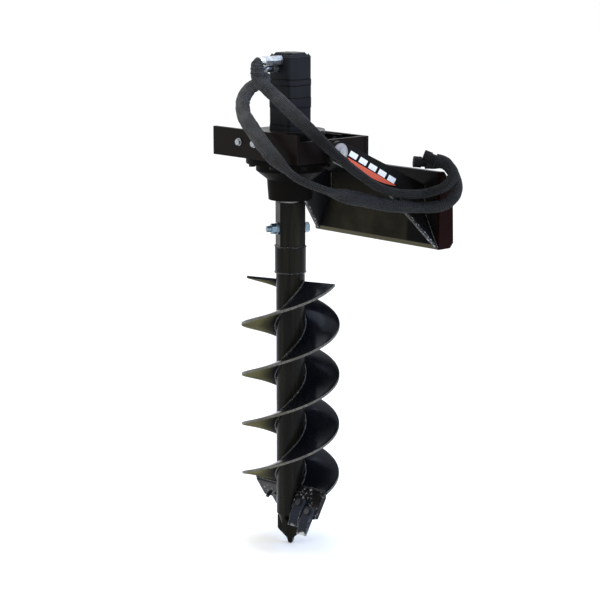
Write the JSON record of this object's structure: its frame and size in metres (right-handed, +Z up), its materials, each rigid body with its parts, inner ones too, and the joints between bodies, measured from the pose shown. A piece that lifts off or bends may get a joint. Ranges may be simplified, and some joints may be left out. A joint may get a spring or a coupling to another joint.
{
  "type": "hydraulic earth auger attachment",
  "caption": "Hydraulic earth auger for a small loader: plate and arms carry a swinging planetary drive with a double-flight toothed bit and sleeved hoses.",
  "frame": {"origin": "centre of the loader plate's back face, where the loader's coupler bears", "axes": "+Z up along the bit's axis, +Y toward the loader, -Y to the front where the bit hangs, +X to the side that carries the hoses"},
  "size_m": [0.6465, 0.6317, 1.541],
  "materials": {
    "black_paint": "gloss",
    "motor_paint": "satin",
    "zinc": "satin",
    "steel": "satin",
    "worn_steel": "matte",
    "hose_sleeve": "matte",
    "cap_rubber": "matte"
  },
  "bodies": {
    "frame": {"mount_plate": "black_paint", "top_lip": "black_paint", "bottom_lip": "black_paint", "end_plate_left": "black_paint", "end_plate_right": "black_paint", "brace_left": "black_paint", "brace_right": "black_paint", "arm_left": "black_paint", "arm_right": "black_paint", "pivot_pins": "steel", "pivot_washers": "zinc", "pivot_bolts": "zinc", "hose_1": "hose_sleeve", "hose_2": "hose_sleeve", "hose_end_1": "cap_rubber", "hose_end_2": "cap_rubber"},
    "drive": {"hanger_front_plate": "black_paint", "hanger_back_plate": "black_paint", "hanger_end_left": "black_paint", "hanger_end_right": "black_paint", "hanger_base": "black_paint", "hanger_bars": "black_paint", "hanger_bolts": "zinc", "pivot_bushings": "black_paint", "gearbox_housing": "black_paint", "ring_gear": "black_paint", "gearbox_cover": "black_paint", "flange_bolts": "zinc", "output_bearings": "steel", "output_seal": "cap_rubber", "motor_flange": "motor_paint", "motor_housing": "motor_paint", "motor_spacer": "motor_paint", "gerotor_section": "motor_paint", "valve_plate": "motor_paint", "port_housing": "motor_paint", "motor_tie_bolts": "zinc", "port_fittings": "zinc", "hose_elbows": "zinc"},
    "auger": {"output_carrier": "steel", "planet_pins": "steel", "hex_coupler": "black_paint", "coupler_bolt": "zinc", "coupler_nut": "zinc", "collar": "black_paint", "pipe": "black_paint", "flight_a": "black_paint", "flight_b": "black_paint", "tooth_holder_a": "worn_steel", "tooth_holder_b": "worn_steel", "teeth_a": "worn_steel", "teeth_b": "worn_steel", "tooth_bolts": "zinc", "pilot_socket": "worn_steel", "pilot_bit": "worn_steel", "pilot_bolt": "zinc"},
    "sun": {"sun_gear": "steel"},
    "planet_1": {"planet_gear_1": "steel"},
    "planet_2": {"planet_gear_2": "steel"},
    "planet_3": {"planet_gear_3": "steel"}
  },
  "joints": [
    {"name": "drive_swing", "type": "hinge", "parent": "frame", "child": "drive", "pos_m": [0, -0.377, 0.206], "axis": [1, 0, 0], "range_deg": [-30, 22], "deforming": ["hose_1", "hose_2"]},
    {"name": "auger_spin", "type": "hinge", "parent": "drive", "child": "auger", "pos_m": [0, -0.377, 0], "axis": [0, 0, 1], "continuous": true},
    {"name": "sun_spin", "type": "hinge", "parent": "drive", "child": "sun", "pos_m": [0, -0.377, 0.212], "axis": [0, 0, 1], "continuous": true},
    {"name": "planet_1_spin", "type": "hinge", "parent": "auger", "child": "planet_1", "pos_m": [0.045, -0.377, 0.212], "axis": [0, 0, 1], "continuous": true},
    {"name": "planet_2_spin", "type": "hinge", "parent": "auger", "child": "planet_2", "pos_m": [-0.0225, -0.33803, 0.212], "axis": [0, 0, 1], "continuous": true},
    {"name": "planet_3_spin", "type": "hinge", "parent": "auger", "child": "planet_3", "pos_m": [-0.0225, -0.41597, 0.212], "axis": [0, 0, 1], "continuous": true}
  ],
  "couplings": [
    {"joint": "sun_spin", "follows": "auger_spin", "ratio": 5},
    {"joint": "planet_1_spin", "follows": "auger_spin", "ratio": -2.6667},
    {"joint": "planet_2_spin", "follows": "auger_spin", "ratio": -2.6667},
    {"joint": "planet_3_spin", "follows": "auger_spin", "ratio": -2.6667}
  ]
}
